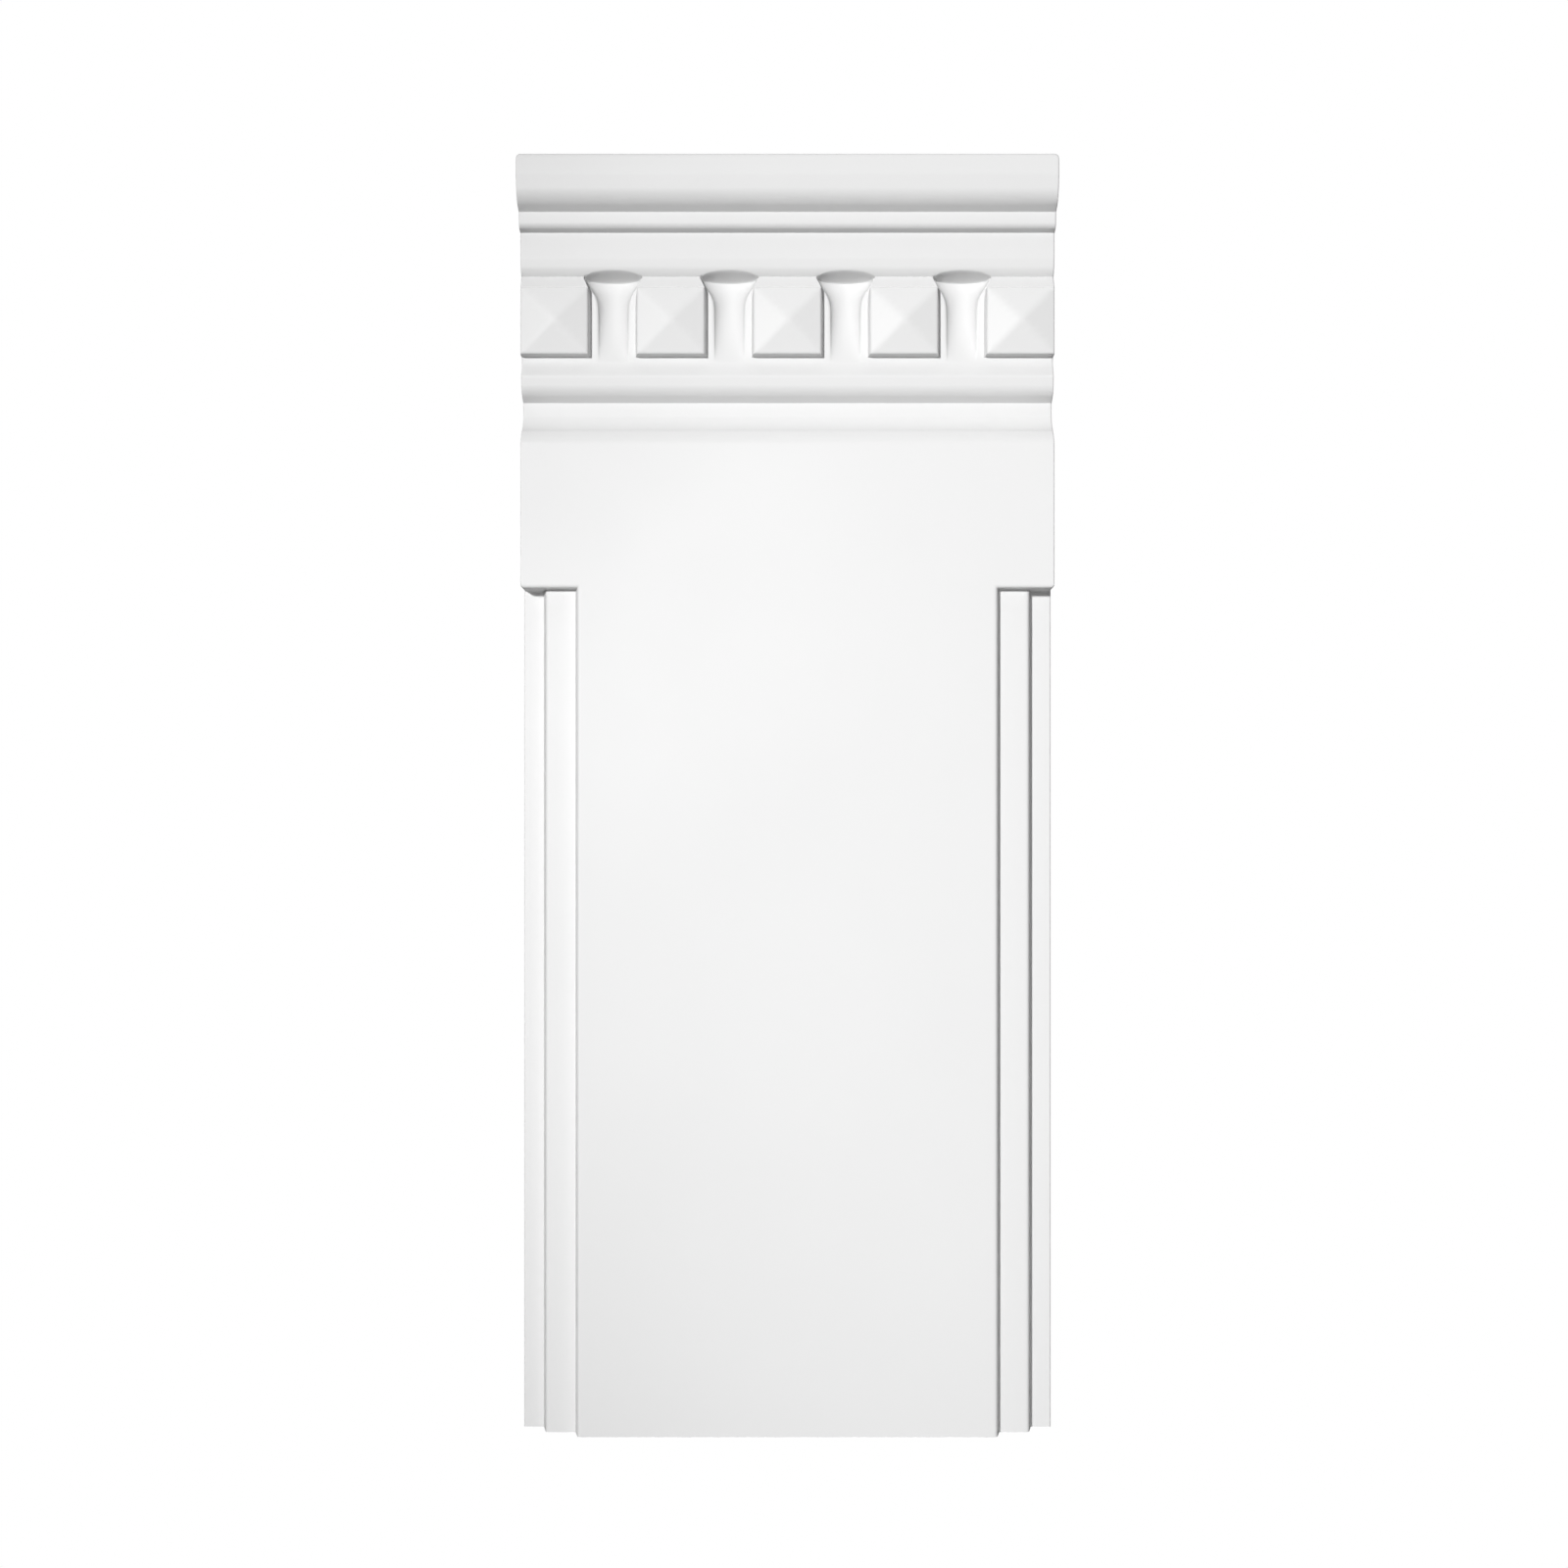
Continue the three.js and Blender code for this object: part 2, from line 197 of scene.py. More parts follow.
class PilasterFinish(bpy.types.PropertyGroup):
    """Colour and surface of the primer."""

    primer: StringProperty(
        name="Primer colour",
        description="sRGB hex colour of the factory primer",
        default="DDDDDD",
    )
    primer_shade: StringProperty(
        name="Primer shade",
        description="sRGB hex colour where the coat lies thin",
        default="D9D9D9",
    )
    roughness: FloatProperty(
        name="Roughness",
        description="Roughness of the primer where its coat is full",
        default=0.5,
        min=0.2,
        max=0.9,
        subtype="FACTOR",
    )
    thin_roughness: FloatProperty(
        name="Thin roughness",
        description="Roughness where the coat lies thin",
        default=0.57,
        min=0.2,
        max=0.9,
        subtype="FACTOR",
    )
    coat_drift: FloatProperty(
        name="Coat drift",
        description="Distance over which the coat's thickness changes",
        default=110 * MM,
        min=20 * MM,
        max=500 * MM,
        unit="LENGTH",
        precision=3,
    )
    peel_spacing: FloatProperty(
        name="Orange peel spacing",
        description="Distance between the small swells that the sprayed primer leaves",
        default=1.8 * MM,
        min=0.5 * MM,
        max=5 * MM,
        unit="LENGTH",
        precision=4,
    )
    peel_height: FloatProperty(
        name="Orange peel height",
        description="Height of those swells",
        default=0.012 * MM,
        min=0,
        max=0.1 * MM,
        unit="LENGTH",
        precision=6,
    )


class PilasterStage(bpy.types.PropertyGroup):
    """Floor, light and camera."""

    floor: StringProperty(
        name="Floor colour",
        description="sRGB hex colour of the floor",
        default="FAFAFA",
    )
    floor_shade: StringProperty(
        name="Floor shade",
        description="sRGB hex colour of the floor's mottle",
        default="F7F7F7",
    )
    floor_mottle: FloatProperty(
        name="Floor mottle",
        description="Size of a patch of the floor's mottle",
        default=0.4,
        min=0.05,
        max=2,
        unit="LENGTH",
    )
    camera_distance: FloatProperty(
        name="Camera distance",
        description="From the camera to the face of the frieze",
        default=779.2 * MM,
        min=0.4,
        max=3,
        unit="LENGTH",
        precision=3,
    )
    camera_height: FloatProperty(
        name="Camera height",
        description="Height of the camera above the foot of the shaft",
        default=300 * MM,
        min=0,
        max=1,
        unit="LENGTH",
        precision=3,
    )
    key_place: FloatVectorProperty(
        name="Key light place",
        description="Centre of the main lamp above and to the left of the camera",
        default=(-0.87, -2.6, 0.64),
        subtype="XYZ",
        unit="LENGTH",
    )
    key_power: FloatProperty(
        name="Key light power",
        description="Power of the main lamp",
        default=352,
        min=0,
        max=2000,
        unit="POWER",
    )


def soften(line, reaches, steps=6, beyond=1.35):
    """Rounds corners of a line of points.

    reaches gives, by corner number, how far along the line its curve starts and ends. A point is
    kept a little beyond each curve, at the share of its reach that beyond gives, so that the flat
    beside it stays flat in smooth shading.
    """
    line = [Vector(p) for p in line]
    along = [0.0]
    for a, b in zip(line, line[1:]):
        along.append(along[-1] + (b - a).length)

    def at(distance):
        distance = min(max(distance, 0.0), along[-1])
        for i in range(len(line) - 1):
            if distance <= along[i + 1]:
                share = (distance - along[i]) / max(along[i + 1] - along[i], 1e-9)
                return line[i].lerp(line[i + 1], share)
        return line[-1].copy()

    marked = []
    for i, point in enumerate(line):
        if not any(abs(along[i] - along[c]) < beyond * r for c, r in reaches.items()):
            marked.append((along[i], point))
    for corner, reach in reaches.items():
        middle = along[corner]
        start, end = at(middle - reach), at(middle + reach)
        for kept in (middle - beyond * reach, middle + beyond * reach):
            if 0 < kept < along[-1]:
                marked.append((kept, at(kept)))
        for step in range(steps + 1):
            t = step / steps
            point = start * (1 - t) ** 2 + line[corner] * (2 * t * (1 - t)) + end * t**2
            marked.append((middle + (2 * t - 1) * reach, point))
    marked.sort(key=lambda m: m[0])
    return [point for _, point in marked]


def quadratic(start, control, end, steps=12):
    """Points of a quadratic curve, without its first."""
    start, control, end = Vector(start), Vector(control), Vector(end)
    points = []
    for step in range(1, steps + 1):
        t = step / steps
        points.append(start * (1 - t) ** 2 + control * (2 * t * (1 - t)) + end * t**2)
    return points


def round_under(foot, lip, arris, lean, steps=18):
    """Section of an underside, the round in front of it and the leaning face up to its arris.

    lip is how far the underside reaches out and rises before the round starts, or the angle at
    which it rises where the round starts at once. The face leans out towards the arris by the
    angle lean, and the round is tangent to both.
    """
    foot, arris = Vector(foot), Vector(arris)
    points = [foot]
    if isinstance(lip, tuple):
        rise = math.atan2(lip[1], lip[0])
        points.append(foot + Vector(lip))
    else:
        rise = lip
    start = points[-1]
    under = Vector((math.cos(rise), math.sin(rise)))
    face = Vector((math.sin(lean), math.cos(lean)))
    # where the lines of the underside and of the face meet
    gap = arris - start
    across = under.x * face.y - under.y * face.x
    reach = (gap.x * face.y - gap.y * face.x) / across
    turn = math.pi / 2 - lean - rise
    radius = reach / math.tan(turn / 2)
    centre = start + Vector((-under.y, under.x)) * radius
    for step in range(1, steps + 1):
        angle = rise - math.pi / 2 + turn * step / steps
        points.append(centre + radius * Vector((math.cos(angle), math.sin(angle))))
    points.append(arris)
    return points


def interpolate(points, value):
    """Second coordinate of a line whose first coordinates rise, at the value given."""
    if value <= points[0][0]:
        return points[0][1]
    for a, b in zip(points, points[1:]):
        if value <= b[0]:
            share = (value - a[0]) / max(b[0] - a[0], 1e-9)
            return a[1] + (b[1] - a[1]) * share
    return points[-1][1]


def soft_least(a, b, reach):
    """The lesser of two values, blended where they differ by less than the reach."""
    return min(a, b) - max(reach - abs(a - b), 0.0) ** 2 / (4 * reach)


def even(first, last, count):
    """Evenly spaced values between two ends, both included."""
    return [first + (last - first) * i / (count - 1) for i in range(count)]


def thinned(values, gap=0.02):
    """Values in rising order, without any that lie within the gap of the one before."""
    kept = []
    for value in sorted(values):
        if not kept or value - kept[-1] > gap:
            kept.append(value)
    return kept


class Moulding:
    """The pilaster's surface as rows and columns of points, in mm, before it becomes a mesh.

    A point is found from its column, the place across the width, and its row. Rows of the head
    follow the section of the moulding, and columns of the shaft its plan.
    """

    END_REACH = 0.7  # round of the arris at the piece's side
    END_STRIP = 2.2  # strip beside it that has its own columns
    BLOCK_CELLS = 6  # columns and rows in half a block
    FOOT_DRAFT = 0.25  # how far the wall under a block leans back
    # how far a block's section runs on over the ground beside and below it and over the soffit,
    # and a scoop's over the ground beside it
    GROUND_BESIDE = 2.2
    GROUND_BELOW = 1.6
    CHAMFER_ABOVE = 1.2
    SCOOP_BESIDE = 3.0
    SOFFIT_ROWS = 19  # through the tops of the scoops
    SOFFIT_ROW = 0.14  # height of one of them
    SCOOP_TOP = 3.0  # height over the soffit that no scoop reaches
    FLARE_ROWS = (0.35, 1.1, 1.8, 3.2)  # depths under the soffit of the rows that show the flare
    SCOOP_ROOM = 0.5  # least ground left between a flared scoop and a block
    FLARE_FADE = 6  # height over the soffit at which the flare's shift has faded out
    CORNER_FADE = 6  # height over which a corner's round dies out

    def __init__(self, sizes):
        self.arris = sizes.arris / MM
        self.step_arris = sizes.step_arris / MM
        self.crease = sizes.crease / MM
        self.crown_corner = sizes.crown_corner / MM
        self.crown_edge = sizes.crown_edge / MM
        self.frieze_corner = sizes.frieze_corner / MM
        self.groove = sizes.groove / MM
        self.points = []
        self.faces = []
        self.shape_sections()

    def shape_sections(self):
        """Sections across the edge of a block, its foot and top, a scoop and the shaft's plan."""
        rise = FACE - GROUND
        self.block_side = soften(
            [
                (-self.GROUND_BESIDE, 0),
                (-BLOCK_DRAFT * rise, 0),
                (0, rise),
                (BLOCK_HALF, rise + BLOCK_POINT),
            ],
            {1: self.crease, 2: self.arris},
        )
        half_height = (BLOCK_TOP - BLOCK_FOOT) / 2
        self.block_foot = soften(
            [
                (-self.GROUND_BELOW, 0),
                (-self.FOOT_DRAFT, 0),
                (0, rise),
                (half_height, rise + BLOCK_POINT),
            ],
            {1: self.crease, 2: self.arris},
        )
        chamfer = SOFFIT - BLOCK_TOP
        slope = BLOCK_CHAMFER_SETBACK / chamfer
        groove = self.groove
        self.block_top = soften(
            [
                (-self.CHAMFER_ABOVE, rise - slope * (chamfer + self.CHAMFER_ABOVE)),
                (chamfer - groove, rise - slope * groove),
                (chamfer, rise - groove),
                (chamfer + groove, rise + BLOCK_POINT / half_height * groove),
                (chamfer + half_height, rise + BLOCK_POINT),
            ],
            {1: groove / 3, 2: groove / 3, 3: groove / 3},
        )
        wall = [(-SCOOP_RADIUS - self.SCOOP_BESIDE, 0), (-SCOOP_RADIUS, 0)]
        for degrees in range(6, 91, 7):
            angle = math.radians(degrees)
            wall.append((-SCOOP_RADIUS * math.cos(angle), SCOOP_RADIUS * math.sin(angle)))
        self.scoop = soften(wall, {1: 1.5 * self.arris}, 8)
        self.plan = soften(
            [
                (0, FACE),
                (PANEL_EDGE, FACE),
                (PANEL_EDGE + STEP_DRAFT * (FACE - INNER_STEP_FACE), INNER_STEP_FACE),
                (INNER_STEP_EDGE, INNER_STEP_FACE),
                (
                    INNER_STEP_EDGE + STEP_DRAFT * (INNER_STEP_FACE - OUTER_STEP_FACE),
                    OUTER_STEP_FACE,
                ),
                (HALF_WIDTH + 1, OUTER_STEP_FACE),
            ],
            {1: self.step_arris, 2: self.crease, 3: self.step_arris, 4: self.crease},
        )

    def end_columns(self):
        """Places next to the side where the side arris and the corners are rounded."""
        columns = even(HALF_WIDTH - self.END_STRIP, HALF_WIDTH - self.END_REACH - 0.3, 4)
        for degrees in range(0, 91, 15):
            turned = math.sin(math.radians(degrees))
            columns.append(HALF_WIDTH - self.END_REACH * (1 - turned))
        return columns

    def head_columns(self):
        columns = []
        for number, centre in enumerate(BLOCK_CENTRES):
            cells = [BLOCK_HALF * i / self.BLOCK_CELLS for i in range(self.BLOCK_CELLS)]
            columns += [centre + c for c in cells] + [centre - c for c in cells]
            edge = [e for e, _ in self.block_side if e < BLOCK_HALF / self.BLOCK_CELLS]
            if number > 0:
                columns += [centre - BLOCK_HALF + e for e in edge]
            if number < BLOCK_COUNT - 1:
                columns += [centre + BLOCK_HALF - e for e in edge]
        for centre in SCOOP_CENTRES:
            for offset, _ in self.scoop:
                if offset > -SCOOP_RADIUS - self.SCOOP_BESIDE / 2:
                    columns += [centre + offset, centre - offset]
        ends = self.end_columns()
        inner = [c for c in columns if abs(c) < ends[0] - 0.3]
        return thinned(inner + ends + [-e for e in ends])

    def shaft_columns(self):
        ends = self.end_columns()
        inner = [x for x, _ in self.plan if x < ends[0] - 0.3] + even(20, 80, 4)
        right = inner + ends
        return thinned(right + [-x for x in right])

    def block_rise(self, x, z):
        """Height of the block above the ground at a place, at most nothing outside it."""
        number = round(x / BLOCK_PITCH + (BLOCK_COUNT - 1) / 2)
        number = min(max(number, 0), BLOCK_COUNT - 1)
        inside = BLOCK_HALF - abs(x - BLOCK_CENTRES[number])
        at_end = number in (0, BLOCK_COUNT - 1) and abs(x) > BLOCK_CENTRES[-1]
        if at_end:
            side = FACE - GROUND + BLOCK_POINT * inside / BLOCK_HALF
        else:
            side = interpolate(self.block_side, inside)
        foot = interpolate(self.block_foot, z - BLOCK_FOOT)
        top = interpolate(self.block_top, SOFFIT - z)
        return max(min(side, foot, top), 0.0)

    def scoop_depth(self, x, z):
        """Depth of the nearest scoop below the ground at a place."""
        across = min(abs(x - centre) for centre in SCOOP_CENTRES)
        down = min(max((SOFFIT - z) / (SOFFIT - GROUND_FOOT), 0.0), 1.0)
        return interpolate(self.scoop, -across) * (1 - down**SCOOP_RUNOUT_POWER)

    def course(self, x, z):
        """Distance from the wall in the course of blocks and scoops."""
        return GROUND + self.block_rise(x, z) - self.scoop_depth(x, z)

    def flare_shift(self, x, z):
        """Sideways shift of a column near the top of the course.

        The scoops widen there until they cut the blocks' upper corners off, so the columns of a
        scoop spread, those of a block close up, and those of the ground between them follow.
        """
        down = SOFFIT - z
        fade = min(max(1 + down / self.FLARE_FADE, 0.0), 1.0)
        down = max(down, 0.0)
        if fade == 0 or abs(x) > BLOCK_CENTRES[-1]:
            return 0.0
        cut = BLOCK_CORNER_CUT * max(1 - down / (SOFFIT - BLOCK_TOP), 0.0)
        gap = (BLOCK_PITCH - 2 * BLOCK_HALF) / 2
        flare = SCOOP_FLARE * math.exp(-((down / SCOOP_FLARE_HEIGHT) ** 2))
        flare = min(flare, gap + cut - self.SCOOP_ROOM - SCOOP_RADIUS)
        centre = min(SCOOP_CENTRES, key=lambda c: abs(x - c))
        across = abs(x - centre)
        knots = [(0, 0), (SCOOP_RADIUS, flare), (gap, cut), (gap + BLOCK_HALF, 0)]
        return math.copysign(interpolate(knots, across) * fade, x - centre)

    def rounding(self, x, reach):
        """How far a round of this radius at the piece's side has fallen away at a place."""
        past = abs(x) - (HALF_WIDTH - reach)
        if past <= 0:
            return 0.0
        return reach - math.sqrt(max(reach * reach - past * past, 0.0))

    def place(self, x, out, z, shift=0.0, corner=0.0, radius=2.0):
        """Adds a point and returns its number."""
        if out > self.END_REACH:
            out -= self.rounding(x, self.END_REACH)
        z += corner * self.rounding(x, radius)
        x = (x + shift) * (1 + (FACE - out) * SIDE_DRAFT / HALF_WIDTH)
        self.points.append((x * MM, -out * MM, (z - TOTAL_HEIGHT / 2) * MM))
        return len(self.points) - 1

    def lower_section(self):
        """Section of the head from the splice up to the ground of the course."""
        line = [Vector((FACE, level)) for level in (SPLICE, FRIEZE_TOP - 12, FRIEZE_TOP)]
        edge = (FACE, FRIEZE_TOP + FRIEZE_EDGE_MEET * (FLARE_FOOT - FRIEZE_TOP))
        line += quadratic((FACE, FRIEZE_TOP), edge, (FRIEZE_EDGE_FACE, FLARE_FOOT))
        flare_corner = len(line) - 1
        hollow = (
            NECK_FACE + FLARE_MEET_OUT * (FRIEZE_EDGE_FACE - NECK_FACE),
            FLARE_FOOT + FLARE_MEET_UP * (NECK_FOOT - FLARE_FOOT),
        )
        line += quadratic((FRIEZE_EDGE_FACE, FLARE_FOOT), hollow, (NECK_FACE, NECK_FOOT))
        band_crease = len(line)
        foot, arris = (NECK_FACE, BAND_FOOT), (BAND_FACE, BAND_ARRIS)
        line += round_under(foot, BAND_LIP, arris, FACE_LEAN)
        band_arris = len(line) - 1
        hollow = (GROUND, BAND_ARRIS + RAMP_MEET * (GROUND_FOOT - BAND_ARRIS))
        line += quadratic((BAND_FACE, BAND_ARRIS), hollow, (GROUND, GROUND_FOOT))
        return soften(
            line,
            {flare_corner: self.crease, band_crease: self.crease, band_arris: self.arris},
        )

    def upper_section(self):
        """Section of the head from the soffit over the top to the wall."""
        foot, arris = (FASCIA_FOOT_OUT, SOFFIT), (FACE, FASCIA_FOOT)
        line = round_under(foot, FASCIA_UNDERSIDE, arris, FACE_LEAN)
        fascia_arris = len(line) - 1
        fascia_crease = len(line)
        foot, arris = (FACE, FASCIA_TOP), (BEAD_FACE, CROWN_FOOT)
        line += round_under(foot, BEAD_LIP, arris, BEAD_LEAN, 12)
        crown_crease = len(line) - 1
        foot, arris = (BEAD_FACE, CROWN_FOOT), (CROWN_FACE, CROWN_ARRIS)
        line += round_under(foot, CROWN_LIP, arris, FACE_LEAN)[1:]
        crown_arris = len(line) - 1
        line += [Vector((CROWN_FACE, TOTAL_HEIGHT)), Vector((0, TOTAL_HEIGHT))]
        crown_edge = len(line) - 2
        return soften(
            line,
            {
                fascia_arris: self.arris,
                fascia_crease: self.crease,
                crown_crease: self.crease,
                crown_arris: self.arris,
                crown_edge: self.crown_edge,
            },
        )

    def course_heights(self):
        """Levels of the rows in the course, and through the soffit of the scoops above it."""
        half_height = (BLOCK_TOP - BLOCK_FOOT) / 2
        cell = half_height / self.BLOCK_CELLS
        heights = [BLOCK_FOOT + e for e, _ in self.block_foot if e < cell]
        heights += [BLOCK_FOOT + cell * i for i in range(1, 2 * self.BLOCK_CELLS)]
        top = SOFFIT - BLOCK_TOP + cell
        heights += [SOFFIT - e for e, _ in self.block_top if 0.4 < e < top]
        heights += [SOFFIT - down for down in self.FLARE_ROWS]
        return thinned([h for h in heights if h > GROUND_FOOT + 0.3], 0.03)

    def head_rows(self):
        """Rows of the head as (height, distance from the wall or none in the course)."""
        rows = [(p.y, p.x) for p in self.lower_section()]
        rows += [(h, None) for h in self.course_heights()]
        upper = self.upper_section()
        underside = sorted((p.y, p.x) for p in upper if p.y < FASCIA_FOOT)
        levels = [SOFFIT + self.SOFFIT_ROW * (i + 1) for i in range(self.SOFFIT_ROWS)]
        rows += [(h, interpolate(underside, h)) for h in levels]
        rows += [(p.y, p.x) for p in upper if p.y > levels[-1] + 0.05]
        return rows

    def head_depth(self, x, height, out):
        """Distance from the wall of a place in a row of the head."""
        if out is None:
            return self.course(x, height)
        above = height - SOFFIT
        if 0 < above < self.SCOOP_TOP:
            ceiling = self.course(x, SOFFIT) + above / SOFFIT_RISE
            out = soft_least(out, ceiling, SCOOP_LIP)
            # a block's chamfer runs on until it meets the fascia
            chamfer = self.block_rise(x, height)
            return max(out, GROUND + chamfer) if chamfer > 0 else out
        return out

    def build_head(self):
        """Grid of the head from the splice up over the top to the wall."""
        columns = self.head_columns()
        grid = []
        for height, out in self.head_rows():
            fall = (height - TOTAL_HEIGHT + 1) / self.CORNER_FADE + 1
            fall = min(max(fall, 0.0), 1.0)
            row = []
            for x in columns:
                row.append(
                    self.place(
                        x,
                        self.head_depth(x, height, out),
                        height,
                        shift=self.flare_shift(x, height),
                        corner=-fall,
                        radius=self.crown_corner,
                    )
                )
            grid.append(row)
        return grid

    def shaft_rows(self):
        """Rows of the shaft and lower frieze as (height, least distance from the wall).

        The frieze's underside drops by a hair towards the steps behind it.
        """
        edge = soften(
            [
                (0, 6),
                (0, 0),
                (FACE - INNER_STEP_FACE, -0.1),
                (FACE - OUTER_STEP_FACE, -0.25),
                (FACE - OUTER_STEP_FACE, -6),
            ],
            {1: self.step_arris, 3: self.crease},
        )
        rows = [(0.0, 0.0), (0.5, 0.0), (40.0, 0.0), (200.0, 0.0), (370.0, 0.0)]
        for cut, up in reversed(edge):
            rows.append((SHAFT_TOP + up, FACE - cut))
        for up in (8, 12, 20):
            rows.append((SHAFT_TOP + up, FACE))
        return rows

    def build_shaft(self):
        """Grid of the shaft and lower frieze up to the splice."""
        columns = self.shaft_columns()
        grid = [[self.place(x, 0.0, 0.0) for x in columns]]
        for height, least in self.shaft_rows():
            fall = 0.0
            if height > SHAFT_TOP - 0.6:
                fall = min(max(1 - (height - SHAFT_TOP) / self.CORNER_FADE, 0.0), 1.0)
            row = []
            for x in columns:
                depth = max(least, interpolate(self.plan, abs(x)))
                row.append(
                    self.place(x, depth, height, corner=fall, radius=self.frieze_corner)
                )
            grid.append(row)
        return grid

    def cover(self, grid):
        """Faces between neighbouring rows, each split along its more outward diagonal."""
        for lower, upper in zip(grid, grid[1:]):
            for i in range(len(lower) - 1):
                a, b, c, d = lower[i], lower[i + 1], upper[i + 1], upper[i]
                out = [-self.points[n][1] for n in (a, b, c, d)]
                if abs(out[0] + out[2] - out[1] - out[3]) < 1e-7:
                    self.faces.append((a, b, c, d))
                elif out[0] + out[2] > out[1] + out[3]:
                    self.faces += [(a, b, c), (a, c, d)]
                else:
                    self.faces += [(a, b, d), (b, c, d)]

    def stitch(self, lower, upper):
        """Faces between two rows that have different columns."""
        i = j = 0
        while i < len(lower) - 1 or j < len(upper) - 1:
            low_next = self.points[lower[i + 1]][0] if i < len(lower) - 1 else math.inf
            up_next = self.points[upper[j + 1]][0] if j < len(upper) - 1 else math.inf
            if abs(low_next - up_next) < 1e-6:
                self.faces.append((lower[i], lower[i + 1], upper[j + 1], upper[j]))
                i, j = i + 1, j + 1
            elif low_next < up_next:
                self.faces.append((lower[i], lower[i + 1], upper[j]))
                i += 1
            else:
                self.faces.append((lower[i], upper[j + 1], upper[j]))
                j += 1

    def build(self):
        shaft = self.build_shaft()
        head = self.build_head()
        self.cover(shaft)
        self.stitch(shaft[-1], head[0])
        self.cover(head)
        # flat back from the head's last row down to the shaft's first
        self.stitch(head[-1], shaft[0])
        # the two flat sides
        left = [row[0] for row in shaft + head]
        right = [row[-1] for row in shaft + head]
        self.faces.append(tuple(left))
        self.faces.append(tuple(reversed(right)))


def linear(hex_colour):
    """sRGB hex colour as linear RGBA."""
    channels = [int(hex_colour[i : i + 2], 16) / 255 for i in (0, 2, 4)]
    return (
        *[c / 12.92 if c <= 0.04045 else ((c + 0.055) / 1.055) ** 2.4 for c in channels],
        1.0,
    )


def add_node(tree, kind, settings=None, inputs=None, links=None):
    """Adds a node, sets its settings and inputs, and links sockets into it."""
    node = tree.nodes.new(kind)
    for name, value in (settings or {}).items():
        setattr(node, name, value)
    for name, value in (inputs or {}).items():
        node.inputs[name].default_value = value
    for name, socket in (links or {}).items():
        tree.links.new(socket, node.inputs[name])
    return node


def sprayed_primer(finish):
    """White water-based primer, sprayed on moulded rigid polyurethane.

    The moulded face under it is dead smooth, so the coat dries to an even satin white with a
    faint orange peel and slightly duller where it lies thin.
    """
    material = bpy.data.materials.new("sprayed_white_primer_on_polyurethane")
    material.use_nodes = True
    tree = material.node_tree
    tree.nodes.clear()
    place = add_node(tree, "ShaderNodeTexCoord")
    # the coat's thickness drifts over about a hand's width
    drift = add_node(
        tree,
        "ShaderNodeTexNoise",
        inputs={"Scale": 1 / finish.coat_drift, "Detail": 2.0, "Roughness": 0.5},
        links={"Vector": place.outputs["Object"]},
    )
    tint = add_node(
        tree,
        "ShaderNodeMix",
        settings={"data_type": "RGBA"},
        links={"Factor": drift.outputs["Fac"]},
    )
    tint.inputs[6].default_value = linear(finish.primer)
    tint.inputs[7].default_value = linear(finish.primer_shade)
    dull = add_node(
        tree,
        "ShaderNodeMapRange",
        inputs={
            "From Min": 0.3,
            "From Max": 0.7,
            "To Min": finish.roughness,
            "To Max": finish.thin_roughness,
        },
        links={"Value": drift.outputs["Fac"]},
    )
    # one swell of the orange peel is about half the noise's cell
    peel = add_node(
        tree,
        "ShaderNodeTexNoise",
        inputs={"Scale": 0.5 / finish.peel_spacing, "Detail": 1.0, "Roughness": 0.4},
        links={"Vector": place.outputs["Object"]},
    )
    bump = add_node(
        tree,
        "ShaderNodeBump",
        inputs={"Strength": 1.0, "Distance": finish.peel_height},
        links={"Height": peel.outputs["Fac"]},
    )
    shader = add_node(
        tree,
        "ShaderNodeBsdfPrincipled",
        inputs={"IOR": 1.5, "Specular IOR Level": 0.38},
        links={
            "Base Color": tint.outputs[2],
            "Roughness": dull.outputs["Result"],
            "Normal": bump.outputs["Normal"],
        },
    )
    output = add_node(tree, "ShaderNodeOutputMaterial")
    tree.links.new(shader.outputs["BSDF"], output.inputs["Surface"])
    return material


def painted_floor(stage):
    """Matt white painted studio floor, rolled on, with a barely visible mottle."""
    material = bpy.data.materials.new("matt_painted_studio_floor")
    material.use_nodes = True
    tree = material.node_tree
    tree.nodes.clear()
    place = add_node(tree, "ShaderNodeTexCoord")
    mottle = add_node(
        tree,
        "ShaderNodeTexNoise",
        inputs={"Scale": 1 / stage.floor_mottle, "Detail": 2.0},
        links={"Vector": place.outputs["Object"]},
    )
    tint = add_node(
        tree,
        "ShaderNodeMix",
        settings={"data_type": "RGBA"},
        links={"Factor": mottle.outputs["Fac"]},
    )
    tint.inputs[6].default_value = linear(stage.floor)
    tint.inputs[7].default_value = linear(stage.floor_shade)
    shader = add_node(
        tree,
        "ShaderNodeBsdfPrincipled",
        inputs={"Roughness": 0.9},
        links={"Base Color": tint.outputs[2]},
    )
    output = add_node(tree, "ShaderNodeOutputMaterial")
    tree.links.new(shader.outputs["BSDF"], output.inputs["Surface"])
    return material


